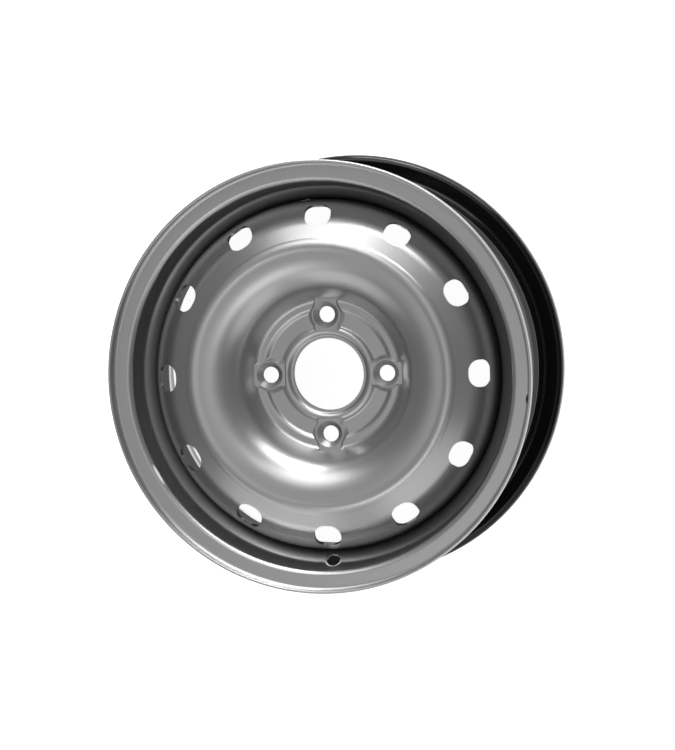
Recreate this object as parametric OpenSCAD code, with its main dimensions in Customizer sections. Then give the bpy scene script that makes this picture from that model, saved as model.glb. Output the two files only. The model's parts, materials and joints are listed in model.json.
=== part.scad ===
// Steel road wheel: a rolled drop-centre rim with a pressed, vented disc welded into its well.
// The wheel's axis is Z and its outboard face is up. The hub face lies in the plane z = 0.

/* [Wheel] */
// Diameter of the bead seats where they meet the flanges
bead_seat_d = 354.8; // [340:0.1:370]
// Width between the two flange faces
rim_width = 139.7; // [130:0.1:150]
// Distance of the hub face outboard of the rim's middle
wheel_offset = 34; // [28:0.5:40]

/* [Rim] */
// Sheet thickness of the rim
rim_t = 2.3; // [1.8:0.1:3]
// Height of the flange lips over the bead seats
flange_h = 17.3; // [15:0.1:19]
// Axial width of a flange lip
lip_w = 11.5; // [10:0.1:13]
// Radius along both edges of a flange lip
lip_edge_r = 0.8; // [0.5:0.1:1]
// Radius of the curl under a flange lip, on the tyre side
curl_r = 5.5; // [4.5:0.1:7]
// Radius between a flange and its bead seat
heel_r = 2.5; // [2:0.1:4]
// Taper of the bead seats, in degrees
seat_taper = 5; // [4:0.5:6]
// Distance of a safety hump from its flange face
hump_at = 20; // [19:0.1:22]
// Height of a safety hump over the bead seat
hump_h = 0.9; // [0.5:0.1:1.4]
// Half the length of a safety hump along the axis
hump_half = 4.5; // [3.5:0.1:5.5]
// Depth of the well below the bead seats
well_depth = 16.7; // [15:0.1:18]
// Distance of the well's outboard corner from the outboard flange face
well_at = 33.7; // [32:0.1:38]
// Length of the well's floor along the axis
well_w = 30; // [27:0.1:34]
// Bend radius at the two corners of the well
well_r = 8; // [6:0.1:10]
// Diameter of the valve hole
valve_d = 11.5; // [9:0.1:13]
// Diameter of the flat coined around the valve hole
valve_flat_d = 15.4; // [14:0.1:17]
// Depth of that flat below the well's slope
valve_sink = 0.4; // [0.2:0.1:0.8]
// Distance of the valve hole's middle from the top of the well's slope
valve_in = 4.5; // [3:0.1:7]

/* [Disc] */
// Sheet thickness of the disc
disc_t = 3.5; // [3:0.1:4]
// Diameter of the centre bore
bore_d = 65.1; // [57:0.1:70]
// Diameter of the bolt circle
bolt_pcd = 108; // [104:0.5:114]
// Number of bolts
bolt_count = 4; // [3:1:6]
// Diameter of the bolt holes
bolt_d = 14.8; // [13:0.1:16]
// Diameter of the conical bolt seats at the top of their pads
seat_d = 24; // [22:0.1:25]
// Slope of the bolt seats, in degrees from the hub face
seat_slope = 45; // [42:1:50]
// Height of the hub rings over the hub face's sheet
ring_h = 2.2; // [2.1:0.1:3.2]
// Height of the bolt pads over the hub rings
pad_h = 1.5; // [0.8:0.1:2.5]
// Width of the bolt pads
pad_w = 20; // [17:0.5:22]
// Width of the flat rim around the bolt seats
seat_rim_w = 1; // [0.6:0.1:1.5]
// Width of the flat land around the centre bore
land_w = 2.6; // [1.5:0.1:4]
// Width of the ring between the bore's land and the hub sectors
inner_ring_w = 4.6; // [4.4:0.1:6]
// Width of the ring between the hub sectors and the bowl
outer_ring_w = 8; // [6:0.1:10]
// Angle from a bolt pad's middle to the nearest hub sector
sector_gap = 14; // [12:0.5:17]
// Slope of the pressed hub walls, in degrees
wall_slope = 45; // [42:1:50]
// Slope of the bowl's foot, in degrees
foot_slope = 60; // [56:1:63]
// Slope of the bowl under the crown, in degrees
bowl_slope = 1; // [0:1:3]
// Radius between the bowl's foot and its slope
bowl_r = 36; // [28:1:40]
// Distance of the crown's outer crease from the skirt
crease_inset = 33.8; // [31:0.1:36]
// Height of the crown's outer crease over the well's outboard corner
crease_h = 35.9; // [33:0.1:38]
// Height of the crown ridge over its crease, at the corner of its bend
ridge_h = 3.6; // [3:0.1:4.5]
// Slope of the vented shoulder, in degrees
shoulder_slope = 28; // [25:1:31]
// Radius between the shoulder and the skirt
shoulder_r = 20; // [16:0.5:22]
// Radial gap between the skirt and the well before welding
skirt_gap = 0.1; // [0:0.05:0.3]
// Distance from the well's outboard corner to the skirt's inboard edge
skirt_l = 17.5; // [15:0.1:19]

/* [Vents] */
// Number of vents
vent_count = 12; // [6:1:14]
// Length of a vent around the disc
vent_w = 24.6; // [23:0.1:27]
// Length of a vent down the shoulder
vent_h = 21.3; // [20:0.1:23]
// Distance of the vents' middle from the skirt
vent_inset = 13.9; // [12.5:0.1:16]
// Corner radius of a vent towards the hub
vent_inner_r = 10.5; // [8:0.1:11]
// Corner radius of a vent towards the rim
vent_outer_r = 8.5; // [5:0.1:9]

/* [Welds] */
// Number of weld arcs
weld_count = 8; // [4:1:10]
// Angle that one weld arc spans, in degrees
weld_angle = 26; // [15:1:32]
// Width of a weld on the skirt's edge
weld_w = 3.2; // [2:0.1:3.4]
// Length of a weld along the well
weld_h = 4.2; // [3:0.1:5]

/* [Hidden] */

silver = [0.62, 0.63, 0.64];
weld_grey = [0.16, 0.16, 0.17];

// Angle between neighbouring points of a bend
arc_step = 7.5;
// Length by which cutting shapes pass the faces that they cut
over = 1;

// Rim stations
seat_r = bead_seat_d / 2;
lip_r = seat_r + flange_h;
front_z = rim_width / 2 - wheel_offset;
rear_z = front_z - rim_width;
well_out_r = seat_r - well_depth;
well_in_r = well_out_r - rim_t;
well_z = front_z - well_at;
lip_front_z = front_z + lip_w;
lip_rear_z = rear_z - lip_w;
// Drop of the ledge beside a hump, below the bead seat's own diameter
ledge_drop = 4.6;
ledge_len = 6;
hump_foot_r = 6;
hump_top_r = 5;
ledge_r = 10;

// Disc stations
bore_r = bore_d / 2;
skirt_r = well_in_r - skirt_gap;
skirt_z = well_z - skirt_l;
ring_z = disc_t + ring_h;
pad_z = ring_z + pad_h;
wall_run = ring_h / tan(wall_slope);
// The hub's flat is large enough for the bolt seats and the rim of their pads
hub_margin = 1.5;
hub_r = bolt_pcd / 2 + seat_d / 2 + hub_margin;
sector_in_r = bore_r + land_w + wall_run + inner_ring_w;
sector_out_r = hub_r - outer_ring_w;
pad_end_r = hub_r + hub_margin;
crease_r = skirt_r - crease_inset;
crease_z = well_z + crease_h;
// Slopes on either side of the crown's ridge
ridge_in_slope = 11;
ridge_out_slope = 40;
ridge_r = crease_r - ridge_h / tan(ridge_out_slope);
ridge_z = crease_z + ridge_h;
// Run of the ridge's inner slope
ridge_in_run = 2 * ridge_h;
bowl_top = [ridge_r - ridge_in_run, ridge_z - ridge_in_run * tan(ridge_in_slope)];
// Bend radii of the disc's front face
land_bend_r = 1.5;
ring_bend_r = 4.6;
foot_bend_r = 4;
valley_bend_r = 20;
ridge_bend_r = 3 * ridge_h;
crease_bend_r = 1.5;
sector_bend_r = 2.5;

function unit(v) = v / norm(v);
function left_of(v) = [-v[1], v[0]];
function turned(v, a) = [v[0] * cos(a) - v[1] * sin(a), v[0] * sin(a) + v[1] * cos(a)];
function ray(a) = [cos(a), sin(a)];

// Where the line through p at angle a meets the line through q at angle b
function meeting(p, a, q, b) =
    p + ray(a) * (cross(q - p, ray(b)) / cross(ray(a), ray(b)));

// Points of the arc that rounds corner b with radius r, each with the path's left normal
function bend(a, b, c, r) =
    let (
        u = unit(b - a),
        turn = atan2(cross(u, c - b), u * (c - b)),
        side = sign(turn),
        start = b - u * r * tan(abs(turn) / 2),
        centre = start + left_of(u) * side * r,
        steps = max(1, ceil(abs(turn) / arc_step))
    )
    [for (i = [0:steps])
        let (n = turned(left_of(u), turn * i / steps))
        [centre - n * side * r, n]];

function spot(corner) = [corner[0], corner[1]];

// Points and left normals along an open path of [x, y, bend radius] corners
function path(corners) =
    let (last = len(corners) - 1)
    concat(
        [[spot(corners[0]), left_of(unit(spot(corners[1]) - spot(corners[0])))]],
        [for (i = [1:last - 1])
            each bend(spot(corners[i - 1]), spot(corners[i]), spot(corners[i + 1]), corners[i][2])],
        [[spot(corners[last]), left_of(unit(spot(corners[last]) - spot(corners[last - 1])))]]
    );

// The same path moved to its right by d
function moved(points, d) = [for (p = points) p[0] - p[1] * d];

// Outline with every corner rounded
function rounded(corners) =
    let (n = len(corners))
    [for (i = [0:n - 1])
        each [for (p = bend(spot(corners[(i + n - 1) % n]), spot(corners[i]),
                            spot(corners[(i + 1) % n]), corners[i][2])) p[0]]];

function reversed(list) = [for (i = [len(list) - 1:-1:0]) list[i]];
function middle(list) = [for (i = [1:len(list) - 2]) list[i]];

// Tyre-side corners from a flange lip to the ledge beside its hump; out is the way to the lip
function flange_corners(face_z, out) = [
    [lip_r, face_z + out * (lip_w - lip_edge_r), 0],
    [lip_r, face_z, curl_r],
    [seat_r, face_z, heel_r],
    [seat_r - (hump_at - hump_half) * tan(seat_taper), face_z - out * (hump_at - hump_half), hump_foot_r],
    [seat_r - hump_at * tan(seat_taper) + hump_h, face_z - out * hump_at, hump_top_r],
    [seat_r - ledge_drop, face_z - out * (hump_at + ledge_len), ledge_r]
];

front_corners = flange_corners(front_z, 1);
rear_corners = reversed(flange_corners(rear_z, -1));
well_corners = [
    [well_out_r, well_z, well_r],
    [well_out_r, well_z - well_w, well_r]
];
rim_path = path(concat(front_corners, well_corners, rear_corners));

// Slope between the outboard ledge and the well, which carries the valve hole
slope_top = spot(front_corners[len(front_corners) - 1]);
slope_foot = spot(well_corners[0]);
slope_dir = unit(slope_foot - slope_top);
valve_at = slope_top + slope_dir * valve_in;
valve_tilt = atan2(-slope_dir[0], -slope_dir[1]);

// Front face of the disc, from the bore to the inboard edge of the skirt
disc_path = path([
    [bore_r, disc_t, 0],
    [bore_r + land_w, disc_t, land_bend_r],
    [bore_r + land_w + wall_run, ring_z, ring_bend_r],
    [hub_r, ring_z, foot_bend_r],
    concat(meeting([hub_r, ring_z], foot_slope, bowl_top, bowl_slope), bowl_r),
    concat(bowl_top, valley_bend_r),
    [ridge_r, ridge_z, ridge_bend_r],
    [crease_r, crease_z, crease_bend_r],
    concat(meeting([crease_r, crease_z], -shoulder_slope, [skirt_r, 0], 90), shoulder_r),
    [skirt_r, skirt_z, 0]
]);

// Front face of a hub sector, across its width, without the ring faces that it starts and ends on
sector_path = middle(path([
    [bore_r, ring_z, 0],
    [sector_in_r, ring_z, ring_bend_r],
    [sector_in_r + wall_run, disc_t, sector_bend_r],
    [sector_out_r - wall_run, disc_t, sector_bend_r],
    [sector_out_r, ring_z, ring_bend_r],
    [hub_r, ring_z, 0]
]));

// Growth of a pressed outline on the face that lies inset behind the front face
function press_growth(inset, slope) = inset * tan(slope / 2);

// Rolled rim: what lies inside its tyre side, less what lies inside its air side
module rim() {
    color(silver)
    difference() {
        union() {
            drum(0, 0);
            at_valve() translate([0, 0, -rim_t - valve_sink])
                cylinder(d = valve_flat_d + 2 * rim_t, h = valve_flat_d);
        }
        drum(rim_t, over);
        at_valve() valve_hole();
    }
}

// Everything inside the rim's face at depth inset, to extra past the lips' edges
module drum(inset, extra) {
    rotate_extrude()
    polygon(concat(
        lip_end(inset, extra, lip_front_z, 1),
        moved(rim_path, inset),
        reversed(lip_end(inset, extra, lip_rear_z, -1))
    ));
}

// Outline of a drum from the axis round the edge of a lip; out is the way to that edge
function lip_end(inset, extra, edge_z, out) =
    let (
        side = inset > 0 ? -1 : 1,
        centre = [lip_r - inset - side * lip_edge_r, edge_z - out * lip_edge_r]
    )
    concat(
        [[0, edge_z + out * extra], [centre[0], edge_z + out * extra]],
        [for (a = [90:-2 * arc_step:arc_step]) centre + lip_edge_r * [side * cos(a), out * sin(a)]]
    );

// Places its child on the air side of the well's slope, on the -Y side, with Z out of the slope
module at_valve() {
    rotate([0, 0, -90])
    translate([valve_at[0], 0, valve_at[1]])
    rotate([0, valve_tilt - 90, 0])
    translate([0, 0, rim_t])
    children();
}

// Valve hole, and the flat that is pressed around it
module valve_hole() {
    cylinder(d = valve_d, h = 2 * valve_d, center = true);
    translate([0, 0, -valve_sink])
    cylinder(d = valve_flat_d, h = valve_flat_d);
}

// Pressed disc: what lies under its front face, less what lies under its back face
module disc() {
    color(silver)
    difference() {
        pressing(0, 0);
        pressing(disc_t, over);
        translate([0, 0, -over])
        cylinder(r = bore_r, h = crease_h);
        at_bolts() translate([0, 0, -over])
            cylinder(d = bolt_d, h = crease_h);
        vents();
    }
}

// Everything under the disc's face at depth inset, down to extra below the skirt's edge
module pressing(inset, extra) {
    difference() {
        union() {
            difference() {
                rotate_extrude()
                polygon(concat(
                    [[0, skirt_z - extra], [0, disc_t - inset]],
                    moved(disc_path, inset),
                    [[skirt_r - inset, skirt_z - extra]]
                ));
                hub_sectors(inset);
                at_bolts() pad_clearance(inset);
            }
            at_bolts() pad_block(inset);
            if (inset == 0) at_bolts() seat_cone();
        }
        at_bolts() bolt_seat(inset);
    }
}

// Places its child on the bolt circle, with X pointing away from the axis
module at_bolts() {
    for (i = [0:bolt_count - 1])
        rotate([0, 0, i * 360 / bolt_count])
        translate([bolt_pcd / 2, 0, 0])
        children();
}

// Recessed sectors between the bolt pads, which rest on the vehicle's hub
module hub_sectors(inset) {
    half_angle = 180 / bolt_count - sector_gap;
    face = moved(sector_path, inset);
    top = ring_z - inset + over;
    for (i = [0:bolt_count - 1])
        rotate([0, 0, (i + 0.5) * 360 / bolt_count])
        intersection() {
            rotate_extrude()
            polygon(concat([[face[0][0], top]], face, [[face[len(face) - 1][0], top]]));
            sector_end(half_angle, inset);
            mirror([0, 1, 0]) sector_end(half_angle, inset);
        }
}

// Half space in front of a sector's sloping end wall
module sector_end(angle, inset) {
    rotate([0, 0, angle])
    translate([0, 0, ring_z])
    rotate([wall_slope, 0, 0])
    translate([0, -hub_r, -inset])
    cube([hub_r, 2 * hub_r, hub_r]);
}

// Raised pad around a bolt, from the inner ring to its square end in the bowl's foot
module pad_block(inset) {
    top = pad_z - inset;
    drop = pad_h + over;
    half_top = pad_w / 2 - press_growth(inset, wall_slope);
    half_foot = half_top + drop / tan(wall_slope);
    start = bore_r + land_w + wall_run + ring_bend_r / 2;
    translate([start - bolt_pcd / 2, 0, 0])
    rotate([90, 0, 90])
    linear_extrude(height = pad_end_r + inset - start)
    polygon([[-half_foot, top - drop], [half_foot, top - drop], [half_top, top], [-half_top, top]]);
}

// Cone that carries a bolt's seat, coined up on the front face alone
module seat_cone() {
    cone_h = pad_h + ring_h + over;
    rim_r = seat_d / 2 + seat_rim_w;
    translate([0, 0, pad_z - cone_h])
    cylinder(h = cone_h, r1 = rim_r + cone_h / tan(wall_slope), r2 = rim_r);
}

// Room over a pad where its square end is pressed into the bowl's foot
module pad_clearance(inset) {
    translate([0, -pad_w / 2 - inset, pad_z - inset])
    cube([pad_end_r - bolt_pcd / 2 + inset, pad_w + 2 * inset, ring_z]);
}

// Cone that seats a bolt, pressed through the pad down to the hub face
module bolt_seat(inset) {
    top = pad_z - inset;
    top_r = seat_d / 2 + press_growth(inset, seat_slope);
    cylinder(
        h = top + over,
        r1 = top_r - top / tan(seat_slope),
        r2 = top_r + over / tan(seat_slope)
    );
}

// Vents punched square to the shoulder
module vents() {
    vent_r = skirt_r - vent_inset;
    vent_z = crease_z - (vent_r - crease_r) * tan(shoulder_slope);
    outline = rounded([
        [-vent_h / 2, -vent_w / 2, vent_inner_r],
        [vent_h / 2, -vent_w / 2, vent_outer_r],
        [vent_h / 2, vent_w / 2, vent_outer_r],
        [-vent_h / 2, vent_w / 2, vent_inner_r]
    ]);
    for (i = [0:vent_count - 1])
        rotate([0, 0, i * 360 / vent_count])
        translate([vent_r, 0, vent_z])
        rotate([0, shoulder_slope, 0])
        linear_extrude(height = 2 * vent_h, center = true)
        polygon(outline);
}

// Fillet welds between the skirt's inboard edge and the well
module weld_beads() {
    color(weld_grey)
    for (i = [0:weld_count - 1])
        rotate([0, 0, (i + 0.5) * 360 / weld_count - weld_angle / 2])
        rotate_extrude(angle = weld_angle)
        polygon(concat(
            [[well_in_r, skirt_z]],
            [for (a = [0:arc_step * 2:90])
                [well_in_r - weld_w * cos(a), skirt_z - weld_h * sin(a)]]
        ));
}

rim();
disc();
weld_beads();
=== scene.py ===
import json
import math

import bpy
from mathutils import Matrix, Vector


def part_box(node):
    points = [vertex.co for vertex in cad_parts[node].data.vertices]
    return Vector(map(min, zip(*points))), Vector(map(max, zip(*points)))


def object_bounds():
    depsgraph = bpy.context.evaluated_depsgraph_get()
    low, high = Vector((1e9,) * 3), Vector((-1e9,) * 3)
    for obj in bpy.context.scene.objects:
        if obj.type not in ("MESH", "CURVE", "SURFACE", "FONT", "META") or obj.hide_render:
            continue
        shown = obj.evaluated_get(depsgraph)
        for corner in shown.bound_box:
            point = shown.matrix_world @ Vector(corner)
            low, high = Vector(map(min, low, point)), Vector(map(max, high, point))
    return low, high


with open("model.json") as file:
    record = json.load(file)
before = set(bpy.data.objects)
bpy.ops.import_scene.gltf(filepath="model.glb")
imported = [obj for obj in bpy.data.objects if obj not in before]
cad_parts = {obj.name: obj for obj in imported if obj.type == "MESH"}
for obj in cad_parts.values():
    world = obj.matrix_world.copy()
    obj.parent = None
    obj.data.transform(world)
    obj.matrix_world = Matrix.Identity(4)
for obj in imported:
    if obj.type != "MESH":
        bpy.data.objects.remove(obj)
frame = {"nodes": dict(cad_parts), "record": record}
cad_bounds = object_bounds()

scene = bpy.context.scene
scene.view_settings.view_transform = "Standard"

# The frame, in metres: +Z runs outboard along the wheel's axis, and the valve hole lies towards -Y
MM = 0.001
NODES = frame["nodes"]
MOUNTS = {mount["name"]: mount for mount in frame["record"]["mounts"]}
FLOOR_Z, FRONT_Z = cad_bounds[0].z, cad_bounds[1].z
DISC_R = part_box("disc")[1].x
BOLT_CIRCLE_R = MOUNTS["bolt_circle"]["dims"]["pcd_mm"] * MM / 2
VALVE_AT, VALVE_AXIS = MOUNTS["valve_hole"]["pos_m"], MOUNTS["valve_hole"]["axis"]
VALVE_R = MOUNTS["valve_hole"]["dims"]["r_mm"] * MM

# Camera: its angles off the wheel's axis towards +X and +Y, its roll, and its distance from the hub
CAM_TILT_X, CAM_TILT_Y, CAM_ROLL = math.radians(13.63), math.radians(3.88), math.radians(-1.89)
CAM_DISTANCE = 4.0

# Picture, in pixels: its size, the focal length, and where the middle of the hub shows
FRAME_W, FRAME_H = 675, 750
FOCAL_PX = 4426.0
HUB_PX = (329.55, 373.71)

# Silver paint, with a fine grain in its roughness, and the steel under it
SILVER = (0.50, 0.50, 0.505, 1.0)
SILVER_ROUGH, SILVER_METALLIC = 0.26, 0.9
GRAIN_SCALE, GRAIN_ROUGH = 900.0, 0.1
BARE_STEEL = (0.85, 0.85, 0.85, 1.0)

# Black primer of the rim, and of the disc and welds
GLOSS_BLACK = {"Base Color": (0.003, 0.003, 0.003, 1.0), "Roughness": 0.13, "Specular IOR Level": 0.3}
SATIN_BLACK = {"Base Color": (0.02, 0.02, 0.02, 1.0), "Roughness": 0.45, "Specular IOR Level": 0.15}

# The disc's silver covers faces whose normal has this much +Z
OUTBOARD_FROM, OUTBOARD_TO = 0.05, 0.2

# Between these radii the disc's silver gives way to black primer: painted shade that darkens the disc towards
# the joint with the rim
SHADE_FROM_R, SHADE_TO_R = DISC_R - 7.3 * MM, DISC_R - 0.3 * MM

# Between these radii the disc's shading comes to lean outward, by this much at the end
ROUND_FROM_R, ROUND_TO_R, ROUND_BY = DISC_R - 24.3 * MM, DISC_R - 2.3 * MM, 1.5

# Between these radii the hub's pads end in upright faces, which look towards the axis
# with a cosine from INWARD_NONE, where silver starts, to INWARD_FULL
PAD_END_FROM_R, PAD_END_TO_R, PAD_END_BLEND = BOLT_CIRCLE_R + 12 * MM, BOLT_CIRCLE_R + 46 * MM, 2 * MM
INWARD_FULL, INWARD_NONE = -0.9, -0.5

# Between these heights the rim's silver starts inside the well, and on the outer side of the lip
WELL_FROM_Z, WELL_TO_Z = -4 * MM, 0.0
LIP_FROM_Z, LIP_TO_Z = FRONT_Z - 3 * MM, FRONT_Z - 1 * MM

# How softly the rim's silver ends where its air side turns over to the tyre side
AIR_SIDE_BLEND = 0.1

# The valve hole's wall is black up to these distances past its radius
VALVE_WALL_FROM, VALVE_WALL_TO = 0.2 * MM, 0.7 * MM

# Marks on the outboard flange: middle, half length and half width, and the solid share of a mark's area
SCRAPE_AT, SCRAPE_SIZE = (-0.1533, -0.0866, 0.0367), (12.5 * MM, 1.6 * MM)
CHIP_AT, CHIP_SIZE = (0.1884, -0.0227, 0.0382), (5 * MM, 1.2 * MM)
MARK_SOLID = 0.3

# Smooth shading: points this close are one, and edges that turn by more than this stay sharp
SAME_POINT = 1e-6
SHARP_ANGLE = math.radians(24)

# Floor: its side, its colour, and how bright it shows to the camera and in mirrors
FLOOR_SIDE = 40.0
FLOOR_COLOR = (0.8, 0.8, 0.8, 1.0)
FLOOR_GLOW = 0.95

# Sky: dim at both sides, with a brighter band over the wheel from -Y to +Y.
# The band ends where the X of a direction reaches BAND_HALF.
SKY_SIDE, SKY_FRONT, SKY_BACK = 0.17, 0.5, 0.55
SKY_COLOR = (1.0, 1.0, 1.0, 1.0)
BAND_HALF = 0.7

# How far the soft boxes stand from the hub
LAMP_DISTANCE = 2.0


def add_node(tree, kind, **values):
    made = tree.nodes.new(kind)
    for key, value in values.items():
        setattr(made, key, value)
    return made


def fill(tree, socket, value):
    """Links a node's output to a socket, or gives the socket a constant."""
    if isinstance(value, bpy.types.NodeSocket):
        tree.links.new(value, socket)
    else:
        socket.default_value = value


def math_node(tree, operation, *values, clamp=False):
    made = add_node(tree, "ShaderNodeMath", operation=operation, use_clamp=clamp)
    for socket, value in zip(made.inputs, values):
        fill(tree, socket, value)
    return made.outputs[0]


def vector_node(tree, operation, *values):
    made = add_node(tree, "ShaderNodeVectorMath", operation=operation)
    for socket, value in zip(made.inputs, values):
        fill(tree, socket, value)
    return made.outputs["Value" if operation in ("DOT_PRODUCT", "LENGTH") else "Vector"]


def ramp(tree, value, start, end):
    """0 before start, 1 after end, smooth between them."""
    made = add_node(tree, "ShaderNodeMapRange", interpolation_type="SMOOTHSTEP")
    for name, given in (("Value", value), ("From Min", start), ("From Max", end)):
        fill(tree, made.inputs[name], given)
    return made.outputs["Result"]


def fall(tree, value, start, end):
    """1 before start, 0 after end, smooth between them."""
    return math_node(tree, "SUBTRACT", 1.0, ramp(tree, value, start, end))


def mix_value(tree, factor, a, b):
    made = add_node(tree, "ShaderNodeMix", data_type="FLOAT")
    for place, value in ((0, factor), (2, a), (3, b)):
        fill(tree, made.inputs[place], value)
    return made.outputs[0]


def mix_color(tree, factor, a, b):
    made = add_node(tree, "ShaderNodeMix", data_type="RGBA")
    for place, value in ((0, factor), (6, a), (7, b)):
        fill(tree, made.inputs[place], value)
    return made.outputs[2]


def noise(tree, position, scale):
    made = add_node(tree, "ShaderNodeTexNoise")
    fill(tree, made.inputs["Vector"], position)
    fill(tree, made.inputs["Scale"], scale)
    return made.outputs["Fac"]


def split(tree, vector):
    made = add_node(tree, "ShaderNodeSeparateXYZ")
    fill(tree, made.inputs[0], vector)
    return made.outputs


def from_line(tree, position, point, direction):
    """Distances from a point along a line and away from that line."""
    offset = vector_node(tree, "SUBTRACT", position, point)
    across = vector_node(tree, "CROSS_PRODUCT", offset, direction)
    return vector_node(tree, "DOT_PRODUCT", offset, direction), vector_node(tree, "LENGTH", across)


def radius(tree, position):
    """Distance from the wheel's axis."""
    return from_line(tree, position, (0, 0, 0), (0, 0, 1))[1]


def outward(tree, position):
    """Unit vector away from the wheel's axis."""
    return vector_node(tree, "NORMALIZE", vector_node(tree, "MULTIPLY", position, (1, 1, 0)))


def facing_out(tree, position, normal):
    """1 on faces that look away from the wheel's axis, -1 on those that look towards it."""
    return vector_node(tree, "DOT_PRODUCT", outward(tree, position), normal)


def outboard(tree, normal):
    """1 on faces that look outboard, 0 on upright faces and the back."""
    return ramp(tree, split(tree, normal)["Z"], OUTBOARD_FROM, OUTBOARD_TO)


def mark(tree, position, point, size):
    """1 on an oval that runs round the rim at a point, 0 away from it."""
    tangent = Vector((-point[1], point[0], 0)).normalized()
    distances = from_line(tree, position, point, tangent)
    shares = [math_node(tree, "DIVIDE", distance, half) for distance, half in zip(distances, size)]
    squares = [math_node(tree, "MULTIPLY", share, share) for share in shares]
    return fall(tree, math_node(tree, "ADD", *squares), MARK_SOLID, 1.0)


def scrape(tree, position):
    """1 where the flange is scraped to the steel."""
    return mark(tree, position, SCRAPE_AT, SCRAPE_SIZE)


def valve_hole(tree, position):
    """1 on the valve hole's wall, 0 away from it."""
    _, from_axis = from_line(tree, position, VALVE_AT, VALVE_AXIS)
    return fall(tree, from_axis, VALVE_R + VALVE_WALL_FROM, VALVE_R + VALVE_WALL_TO)


def pad_end(tree, position, normal):
    """1 on the upright faces where the hub's pads end at the bowl, 0 elsewhere."""
    facing_in = fall(tree, facing_out(tree, position, normal), INWARD_FULL, INWARD_NONE)
    from_axis = radius(tree, position)
    inner = ramp(tree, from_axis, PAD_END_FROM_R - PAD_END_BLEND, PAD_END_FROM_R)
    outer = ramp(tree, from_axis, PAD_END_TO_R, PAD_END_TO_R + PAD_END_BLEND)
    return math_node(tree, "MULTIPLY", facing_in, math_node(tree, "SUBTRACT", inner, outer))


def disc_mask(tree, position, normal):
    """Silver on all that faces outboard and on the pads' ends, fading to black towards the joint with the rim
    as painted shade.
    """
    silver = math_node(tree, "MAXIMUM", outboard(tree, normal), pad_end(tree, position, normal))
    # painted shade: the silver fades to black near the joint with the rim, where shade falls
    painted_shade = ramp(tree, radius(tree, position), SHADE_FROM_R, SHADE_TO_R)
    return math_node(tree, "SUBTRACT", silver, painted_shade, clamp=True)


def rim_mask(tree, position, normal):
    """Silver on the outboard air side and round the lip, black in the valve hole and the chip."""
    inward = math_node(tree, "SUBTRACT", split(tree, normal)["Z"], facing_out(tree, position, normal))
    air_side = ramp(tree, inward, -AIR_SIDE_BLEND, AIR_SIDE_BLEND)
    height = split(tree, position)["Z"]
    inside = math_node(tree, "MULTIPLY", air_side, ramp(tree, height, WELL_FROM_Z, WELL_TO_Z))
    silver = math_node(tree, "MAXIMUM", inside, ramp(tree, height, LIP_FROM_Z, LIP_TO_Z))
    chip = mark(tree, position, CHIP_AT, CHIP_SIZE)
    black = math_node(tree, "MAXIMUM", valve_hole(tree, position), chip)
    return math_node(tree, "SUBTRACT", silver, black, clamp=True)


def primer(name, black):
    """Plain black primer."""
    mat = bpy.data.materials.new(name)
    mat.use_nodes = True
    shader = mat.node_tree.nodes["Principled BSDF"]
    for socket, value in black.items():
        shader.inputs[socket].default_value = value
    return mat


def paint(name, black, silver_mask, bare_mask=None):
    """Black primer with silver where silver_mask is 1, scraped to the steel where bare_mask is 1."""
    mat = primer(name, black)
    tree = mat.node_tree
    shader = tree.nodes["Principled BSDF"]
    geometry = add_node(tree, "ShaderNodeNewGeometry")
    position = geometry.outputs["Position"]
    mask = silver_mask(tree, position, geometry.outputs["Normal"])
    color = mix_color(tree, mask, black["Base Color"], SILVER)
    metallic = mix_value(tree, mask, 0.0, SILVER_METALLIC)
    if bare_mask:
        bare = bare_mask(tree, position)
        color = mix_color(tree, bare, color, BARE_STEEL)
        metallic = mix_value(tree, bare, metallic, 0.0)
    grain = math_node(tree, "MULTIPLY", noise(tree, position, GRAIN_SCALE), GRAIN_ROUGH)
    rough = mix_value(tree, mask, black["Roughness"], math_node(tree, "ADD", grain, SILVER_ROUGH))
    for socket, value in (("Base Color", color), ("Metallic", metallic), ("Roughness", rough)):
        fill(tree, shader.inputs[socket], value)
    return mat


def round_edge(mat):
    """Leans the disc's outboard shading outward as the pressing rounds over towards the rim."""
    tree = mat.node_tree
    geometry = add_node(tree, "ShaderNodeNewGeometry")
    position, normal = geometry.outputs["Position"], geometry.outputs["Normal"]
    lean = math_node(tree, "MULTIPLY", ramp(tree, radius(tree, position), ROUND_FROM_R, ROUND_TO_R), ROUND_BY)
    share = math_node(tree, "MULTIPLY", lean, outboard(tree, normal))
    step = add_node(tree, "ShaderNodeVectorMath", operation="SCALE")
    fill(tree, step.inputs[0], outward(tree, position))
    fill(tree, step.inputs["Scale"], share)
    leaned = vector_node(tree, "NORMALIZE", vector_node(tree, "ADD", normal, step.outputs[0]))
    fill(tree, tree.nodes["Principled BSDF"].inputs["Normal"], leaned)
    return mat


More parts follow.
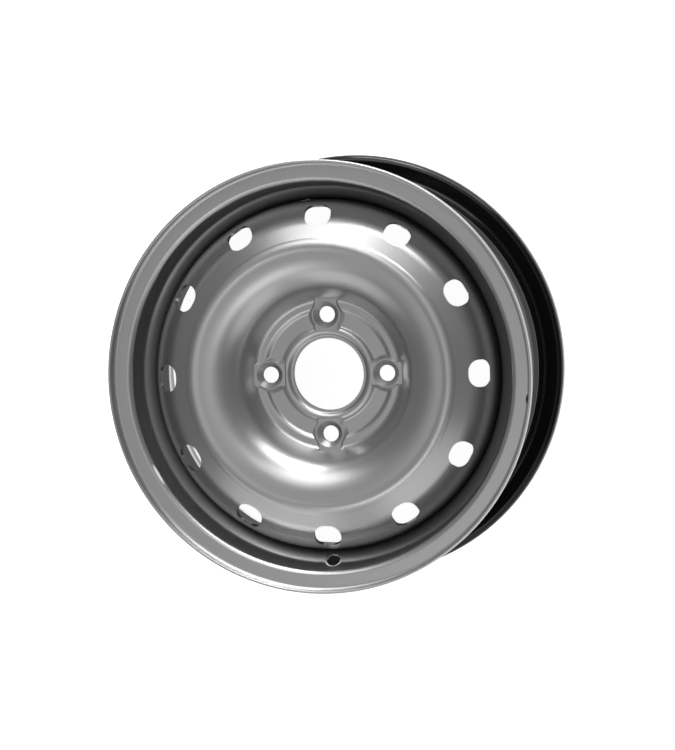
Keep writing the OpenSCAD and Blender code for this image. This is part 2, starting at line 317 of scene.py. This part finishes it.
def smoothing():
    """Node group that joins a mesh's split points and keeps only its true edges sharp."""
    group = bpy.data.node_groups.new("smoothing", "GeometryNodeTree")
    for way in ("INPUT", "OUTPUT"):
        group.interface.new_socket("Geometry", in_out=way, socket_type="NodeSocketGeometry")
    start = add_node(group, "NodeGroupInput")
    merge = add_node(group, "GeometryNodeMergeByDistance")
    merge.inputs["Distance"].default_value = SAME_POINT
    plain = add_node(group, "GeometryNodeRemoveAttribute")
    plain.inputs["Name"].default_value = "custom_normal"
    faces = add_node(group, "GeometryNodeSetShadeSmooth", domain="FACE")
    edges = add_node(group, "GeometryNodeSetShadeSmooth", domain="EDGE")
    end = add_node(group, "NodeGroupOutput")
    chain = (start, merge, plain, faces, edges, end)
    for before, after in zip(chain, chain[1:]):
        group.links.new(before.outputs["Geometry"], after.inputs["Geometry"])
    angle = add_node(group, "GeometryNodeInputMeshEdgeAngle")
    small = add_node(group, "FunctionNodeCompare", data_type="FLOAT", operation="LESS_THAN")
    small.inputs["B"].default_value = SHARP_ANGLE
    group.links.new(angle.outputs["Unsigned Angle"], small.inputs["A"])
    group.links.new(small.outputs["Result"], edges.inputs["Shade Smooth"])
    return group


SMOOTHING = smoothing()


def dress(name, material):
    """Gives a node its paint and smooth shading."""
    obj = NODES[name]
    obj.data.materials.clear()
    obj.data.materials.append(material)
    obj.modifiers.new("smoothing", "NODES").node_group = SMOOTHING
    weighted = obj.modifiers.new("weighted", "WEIGHTED_NORMAL")
    weighted.keep_sharp = True


def floor_material():
    """Pale and matt, white to the camera and in mirrors, and clear from below."""
    mat = bpy.data.materials.new("floor")
    mat.use_nodes = True
    tree = mat.node_tree
    tree.nodes.clear()
    diffuse = add_node(tree, "ShaderNodeBsdfDiffuse")
    diffuse.inputs["Color"].default_value = FLOOR_COLOR
    rays = add_node(tree, "ShaderNodeLightPath").outputs
    mirrored = math_node(tree, "MAXIMUM", rays["Is Glossy Ray"], rays["Is Transmission Ray"])
    seen = math_node(tree, "MAXIMUM", rays["Is Camera Ray"], mirrored)
    glow = add_node(tree, "ShaderNodeEmission")
    fill(tree, glow.inputs["Strength"], math_node(tree, "MULTIPLY", seen, FLOOR_GLOW))
    both = add_node(tree, "ShaderNodeAddShader")
    fill(tree, both.inputs[0], diffuse.outputs[0])
    fill(tree, both.inputs[1], glow.outputs[0])
    clear = add_node(tree, "ShaderNodeBsdfTransparent")
    backfacing = add_node(tree, "ShaderNodeNewGeometry").outputs["Backfacing"]
    shown = add_node(tree, "ShaderNodeMixShader")
    for socket, value in zip(shown.inputs, (backfacing, both.outputs[0], clear.outputs[0])):
        fill(tree, socket, value)
    out = add_node(tree, "ShaderNodeOutputMaterial")
    fill(tree, out.inputs["Surface"], shown.outputs[0])
    return mat


def add_sky():
    world = bpy.data.worlds.new("studio")
    world.use_nodes = True
    tree = world.node_tree
    background = tree.nodes["Background"]
    background.inputs["Color"].default_value = SKY_COLOR
    toward = split(tree, add_node(tree, "ShaderNodeTexCoord").outputs["Generated"])
    sideways = ramp(tree, math_node(tree, "ABSOLUTE", toward["X"]), 0.0, BAND_HALF)
    along = mix_value(tree, ramp(tree, toward["Y"], -1.0, 1.0), SKY_FRONT, SKY_BACK)
    fill(tree, background.inputs["Strength"], mix_value(tree, sideways, along, SKY_SIDE))
    scene.world = world


def softbox(name, from_axis, around, size, power):
    """A square lamp that faces the hub, placed by its degrees from the axis and round it from +X."""
    light = bpy.data.lights.new(name, "AREA")
    light.size = size
    light.energy = power
    lamp = bpy.data.objects.new(name, light)
    scene.collection.objects.link(lamp)
    tilt, turn = math.radians(from_axis), math.radians(around)
    toward = Vector((math.sin(tilt) * math.cos(turn), math.sin(tilt) * math.sin(turn), math.cos(tilt)))
    lamp.location = toward * LAMP_DISTANCE
    lamp.rotation_mode = "QUATERNION"
    lamp.rotation_quaternion = (-toward).to_track_quat("-Z", "Y")


def add_camera():
    """A camera that faces the hub, shifted so that the middle of the hub shows at HUB_PX."""
    away = Vector((math.sin(CAM_TILT_X), math.sin(CAM_TILT_Y), 0))
    away.z = math.sqrt(1 - away.x ** 2 - away.y ** 2)
    level = Vector((0, 1, 0)).cross(away).normalized()
    upright = away.cross(level)
    right = level * math.cos(CAM_ROLL) + upright * math.sin(CAM_ROLL)
    up = upright * math.cos(CAM_ROLL) - level * math.sin(CAM_ROLL)
    turned = Matrix((right, up, away)).transposed().to_4x4()
    cam = bpy.data.cameras.new("camera")
    cam.lens = cam.sensor_width * FOCAL_PX / FRAME_H
    cam.shift_x = (FRAME_W / 2 - HUB_PX[0]) / FRAME_H
    cam.shift_y = (HUB_PX[1] - FRAME_H / 2) / FRAME_H
    camera = bpy.data.objects.new("camera", cam)
    scene.collection.objects.link(camera)
    camera.matrix_world = Matrix.Translation(away * CAM_DISTANCE) @ turned
    scene.camera = camera


dress("rim", paint("rim_paint", GLOSS_BLACK, rim_mask, scrape))
dress("disc", round_edge(paint("disc_paint", SATIN_BLACK, disc_mask)))
dress("weld_beads", primer("weld_paint", SATIN_BLACK))

bpy.ops.mesh.primitive_plane_add(size=FLOOR_SIDE, location=(0, 0, FLOOR_Z))
floor = bpy.context.object
floor.name = "floor"
floor.data.materials.append(floor_material())

add_sky()
softbox("key", from_axis=50, around=102, size=1.1, power=8)
softbox("rear", from_axis=74, around=72, size=1.2, power=17)
softbox("top", from_axis=85, around=90, size=0.8, power=20)
softbox("over", from_axis=28, around=95, size=0.8, power=2.5)
softbox("front_left", from_axis=62, around=238, size=1.4, power=4)
softbox("front_right", from_axis=62, around=302, size=1.4, power=4)
softbox("near", from_axis=25, around=270, size=0.8, power=2.5)
add_camera()
